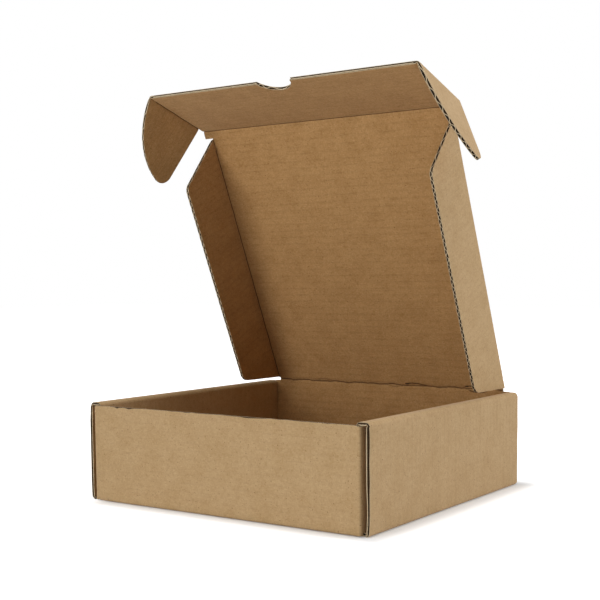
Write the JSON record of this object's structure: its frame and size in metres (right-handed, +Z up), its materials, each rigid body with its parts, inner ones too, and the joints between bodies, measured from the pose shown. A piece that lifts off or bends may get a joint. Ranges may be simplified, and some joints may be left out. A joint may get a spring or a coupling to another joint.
{
  "type": "corrugated mailer box",
  "caption": "Low square corrugated mailer box with rolled side walls and a hinged tuck lid with side flaps, curved ears and a thumb notch, shown open.",
  "frame": {"origin": "middle of the underside of the tray", "axes": "+X along the front wall to the right, +Y towards the hinge at the back, +Z up"},
  "size_m": [0.3144, 0.25, 0.3331],
  "materials": {
    "kraft_board": "matte uncoated kraft liner"
  },
  "bodies": {
    "tray": {"tray": "kraft_board"},
    "lid": {"lid": "kraft_board"},
    "tuck_flap": {"tuck_flap": "kraft_board"},
    "left_ear": {"left_ear": "kraft_board"},
    "right_ear": {"right_ear": "kraft_board"},
    "left_side_flap": {"left_side_flap": "kraft_board"},
    "right_side_flap": {"right_side_flap": "kraft_board"}
  },
  "joints": [
    {"name": "lid_hinge", "type": "hinge", "parent": "tray", "child": "lid", "pos_m": [0, 0.1237, 0.0816], "axis": [-1, 0, 0], "range_deg": [-65.9, 114.1]},
    {"name": "tuck_fold", "type": "hinge", "parent": "lid", "child": "tuck_flap", "pos_m": [0, 0.02117, 0.31081], "axis": [1, 0, 0], "range_deg": [-49, 41]},
    {"name": "left_ear_fold", "type": "hinge", "parent": "tuck_flap", "child": "left_ear", "pos_m": [-0.1283, -0.01653, 0.32227], "axis": [0, -0.9568, 0.2907], "range_deg": [-62, 28]},
    {"name": "right_ear_fold", "type": "hinge", "parent": "tuck_flap", "child": "right_ear", "pos_m": [0.1283, -0.01653, 0.32227], "axis": [0, 0.9568, -0.2907], "range_deg": [-62, 28]},
    {"name": "left_flap_fold", "type": "hinge", "parent": "lid", "child": "left_side_flap", "pos_m": [-0.1197, 0.07368, 0.19342], "axis": [0, -0.4083, 0.9128], "range_deg": [-90, 0]},
    {"name": "right_flap_fold", "type": "hinge", "parent": "lid", "child": "right_side_flap", "pos_m": [0.1197, 0.07368, 0.19342], "axis": [0, 0.4083, -0.9128], "range_deg": [-90, 0]}
  ]
}
